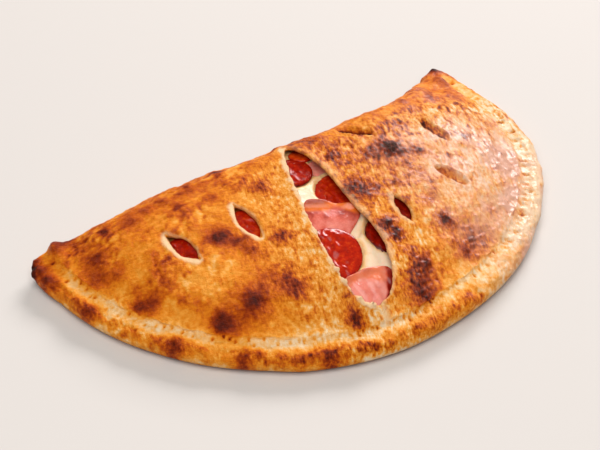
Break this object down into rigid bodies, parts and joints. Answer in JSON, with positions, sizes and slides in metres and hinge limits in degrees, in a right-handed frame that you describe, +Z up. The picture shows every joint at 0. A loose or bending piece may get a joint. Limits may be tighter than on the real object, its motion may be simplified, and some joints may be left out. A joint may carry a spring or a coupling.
{
  "type": "half-moon stromboli",
  "caption": "Half-moon baked dough folded over cheese, pepperoni and ham, crimped along the curved edge, with a large slash on top showing the filling.",
  "frame": {"origin": "centre of the footprint on the surface that the stromboli lies on", "axes": "+X along the fold from tip to tip, +Y towards the fold, -Y towards the curved crimped edge, +Z up"},
  "size_m": [0.291, 0.1662, 0.0386],
  "materials": {
    "baked_dough": "baked golden-brown bread crust, satin, browned in spots and paler along the crimp and the cut edges",
    "melted_cheese": "melted white cheese, glossy and slightly wet",
    "pepperoni": "baked pepperoni, oily and wrinkled, with pale specks of fat",
    "ham": "cooked pink ham, moist, browned along its upper edges"
  },
  "bodies": {
    "root": {"crust": "baked_dough", "cheese": "melted_cheese", "pepperoni_1": "pepperoni", "pepperoni_2": "pepperoni", "pepperoni_3": "pepperoni", "pepperoni_4": "pepperoni", "pepperoni_5": "pepperoni", "pepperoni_6": "pepperoni", "pepperoni_7": "pepperoni", "pepperoni_8": "pepperoni", "ham_1": "ham", "ham_2": "ham", "ham_3": "ham"}
  },
  "joints": []
}
